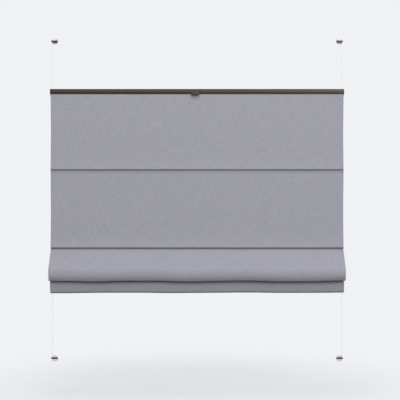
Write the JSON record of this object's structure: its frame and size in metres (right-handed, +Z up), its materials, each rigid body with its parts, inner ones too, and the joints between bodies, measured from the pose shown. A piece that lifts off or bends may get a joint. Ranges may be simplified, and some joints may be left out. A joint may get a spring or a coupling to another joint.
{
  "type": "roman blind",
  "caption": "Clamp-on roman blind: grey cloth with rod pockets and stacked soft folds, hung between bronze rails that slide on taut cords held by sash clamps.",
  "frame": {"origin": "centre of the rectangle of securing screw holes in the clamps' legs, on the plane of the sash's front face", "axes": "+X right as seen from the room, +Y through the window, +Z up"},
  "size_m": [1.1, 0.099, 1.2112],
  "materials": {
    "grey_cloth": "matte",
    "bronze_aluminium": "satin",
    "bronze_plastic": "satin",
    "clamp_white": "satin",
    "zinc_steel": "satin",
    "cord_white": "matte",
    "rod_fibreglass": "satin",
    "clear_plastic": "gloss"
  },
  "bodies": {
    "brackets": {"clamp_body_top_left": "clamp_white", "tension_shoe_top_left": "bronze_plastic", "cord_ferrule_top_left": "zinc_steel", "clamp_body_top_right": "clamp_white", "tension_shoe_top_right": "bronze_plastic", "cord_ferrule_top_right": "zinc_steel", "clamp_body_bottom_left": "clamp_white", "tension_shoe_bottom_left": "bronze_plastic", "cord_ferrule_bottom_left": "zinc_steel", "clamp_body_bottom_right": "clamp_white", "tension_shoe_bottom_right": "bronze_plastic", "cord_ferrule_bottom_right": "zinc_steel", "tension_cord_left": "cord_white", "tension_cord_right": "cord_white"},
    "curtain": {"top_rail": "bronze_aluminium", "top_end_cap_left": "bronze_plastic", "top_end_cap_right": "bronze_plastic", "top_cord_run": "cord_white", "top_fabric_strip": "clear_plastic", "top_rail_handle": "bronze_plastic", "shade_panels": "grey_cloth", "shade_folds": "grey_cloth", "fold_rod_one": "rod_fibreglass", "rod_guide_one_left": "clear_plastic", "rod_guide_one_right": "clear_plastic", "fold_rod_two": "rod_fibreglass", "rod_guide_two_left": "clear_plastic", "rod_guide_two_right": "clear_plastic"},
    "bottom_rail": {"bottom_rail": "bronze_aluminium", "bottom_end_cap_left": "bronze_plastic", "bottom_end_cap_right": "bronze_plastic", "bottom_cord_run": "cord_white", "bottom_fabric_strip": "clear_plastic", "fold_rod_three": "rod_fibreglass", "rod_guide_three_left": "clear_plastic", "rod_guide_three_right": "clear_plastic"},
    "hook_top_left": {"clamp_hook_top_left": "zinc_steel"},
    "screw_top_left": {"clamp_screw_top_left": "zinc_steel"},
    "hook_top_right": {"clamp_hook_top_right": "zinc_steel"},
    "screw_top_right": {"clamp_screw_top_right": "zinc_steel"},
    "hook_bottom_left": {"clamp_hook_bottom_left": "zinc_steel"},
    "screw_bottom_left": {"clamp_screw_bottom_left": "zinc_steel"},
    "hook_bottom_right": {"clamp_hook_bottom_right": "zinc_steel"},
    "screw_bottom_right": {"clamp_screw_bottom_right": "zinc_steel"}
  },
  "joints": [
    {"name": "curtain_slide", "type": "slide", "parent": "brackets", "child": "curtain", "axis": [0, 0, 1], "range_m": [-0.1, 0.17]},
    {"name": "bottom_rail_slide", "type": "slide", "parent": "curtain", "child": "bottom_rail", "axis": [0, 0, 1], "range_m": [-0.26, 0], "deforming": ["shade_folds"]},
    {"name": "screw_turn_top_left", "type": "hinge", "parent": "brackets", "child": "screw_top_left", "pos_m": [-0.5348, 0, 0.6015], "axis": [0, 1, 0], "range_deg": [-1800, 1800]},
    {"name": "hook_slide_top_left", "type": "slide", "parent": "brackets", "child": "hook_top_left", "axis": [0, 1, 0], "range_m": [-0.0035, 0.0035]},
    {"name": "screw_turn_top_right", "type": "hinge", "parent": "brackets", "child": "screw_top_right", "pos_m": [0.5348, 0, 0.6015], "axis": [0, 1, 0], "range_deg": [-1800, 1800]},
    {"name": "hook_slide_top_right", "type": "slide", "parent": "brackets", "child": "hook_top_right", "axis": [0, 1, 0], "range_m": [-0.0035, 0.0035]},
    {"name": "screw_turn_bottom_left", "type": "hinge", "parent": "brackets", "child": "screw_bottom_left", "pos_m": [-0.5348, 0, -0.6015], "axis": [0, 1, 0], "range_deg": [-1800, 1800]},
    {"name": "hook_slide_bottom_left", "type": "slide", "parent": "brackets", "child": "hook_bottom_left", "axis": [0, 1, 0], "range_m": [-0.0035, 0.0035]},
    {"name": "screw_turn_bottom_right", "type": "hinge", "parent": "brackets", "child": "screw_bottom_right", "pos_m": [0.5348, 0, -0.6015], "axis": [0, 1, 0], "range_deg": [-1800, 1800]},
    {"name": "hook_slide_bottom_right", "type": "slide", "parent": "brackets", "child": "hook_bottom_right", "axis": [0, 1, 0], "range_m": [-0.0035, 0.0035]}
  ],
  "couplings": [
    {"joint": "screw_turn_top_left", "follows": "hook_slide_top_left", "rad_per_m": -8976},
    {"joint": "screw_turn_top_right", "follows": "hook_slide_top_right", "rad_per_m": -8976},
    {"joint": "screw_turn_bottom_left", "follows": "hook_slide_bottom_left", "rad_per_m": -8976},
    {"joint": "screw_turn_bottom_right", "follows": "hook_slide_bottom_right", "rad_per_m": -8976}
  ]
}
